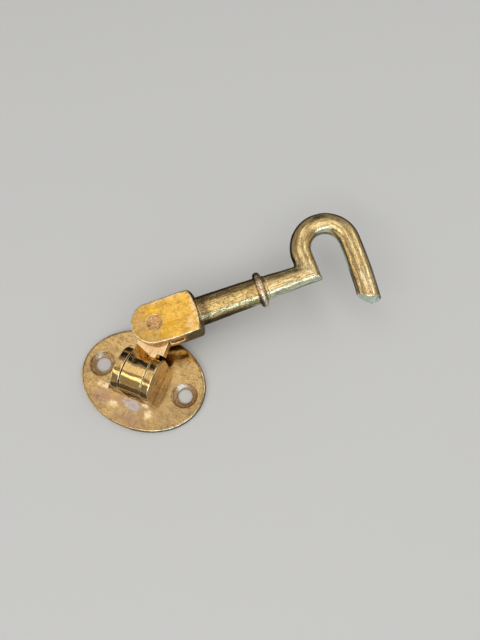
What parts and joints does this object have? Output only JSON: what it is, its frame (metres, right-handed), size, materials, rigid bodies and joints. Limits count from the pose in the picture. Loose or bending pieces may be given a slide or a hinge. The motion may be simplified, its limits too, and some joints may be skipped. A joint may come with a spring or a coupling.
{
  "type": "universal joint cabin hook",
  "caption": "Brass cabin hook: oval screw-on back plate, double-hinged link, riveted fork, tapered collared rod and half-round hook.",
  "frame": {"origin": "centre of the back plate's rear face, midway between the two screw holes", "axes": "+Z out of the wall through the plate, +X along the line of the screw holes, +Y towards the side on which the link lies"},
  "size_m": [0.0875, 0.0895, 0.0245],
  "materials": {
    "back_plate": "worn, scratched polish",
    "left_lug": "worn polish",
    "right_lug": "worn polish",
    "hinge_pin": "worn polish",
    "universal_link": "worn polish",
    "fork_head": "worn polish",
    "fork_rivet": "hammered, coppery",
    "arm_rod": "aged, streaky patina",
    "hook_rod": "aged, streaky patina"
  },
  "bodies": {
    "plate": {"back_plate": "back_plate", "left_lug": "left_lug", "right_lug": "right_lug", "hinge_pin": "hinge_pin"},
    "link": {"universal_link": "universal_link"},
    "arm": {"fork_head": "fork_head", "fork_rivet": "fork_rivet", "arm_rod": "arm_rod", "hook_rod": "hook_rod"}
  },
  "joints": [
    {"name": "link_hinge", "type": "hinge", "parent": "plate", "child": "link", "pos_m": [0, 0, 0.01], "axis": [1, 0, 0], "range_deg": [-11, 173]},
    {"name": "arm_swivel", "type": "hinge", "parent": "link", "child": "arm", "pos_m": [0, 0.01679, 0.01266], "axis": [0, -0.1564, 0.9877], "range_deg": [-42, 142]}
  ]
}
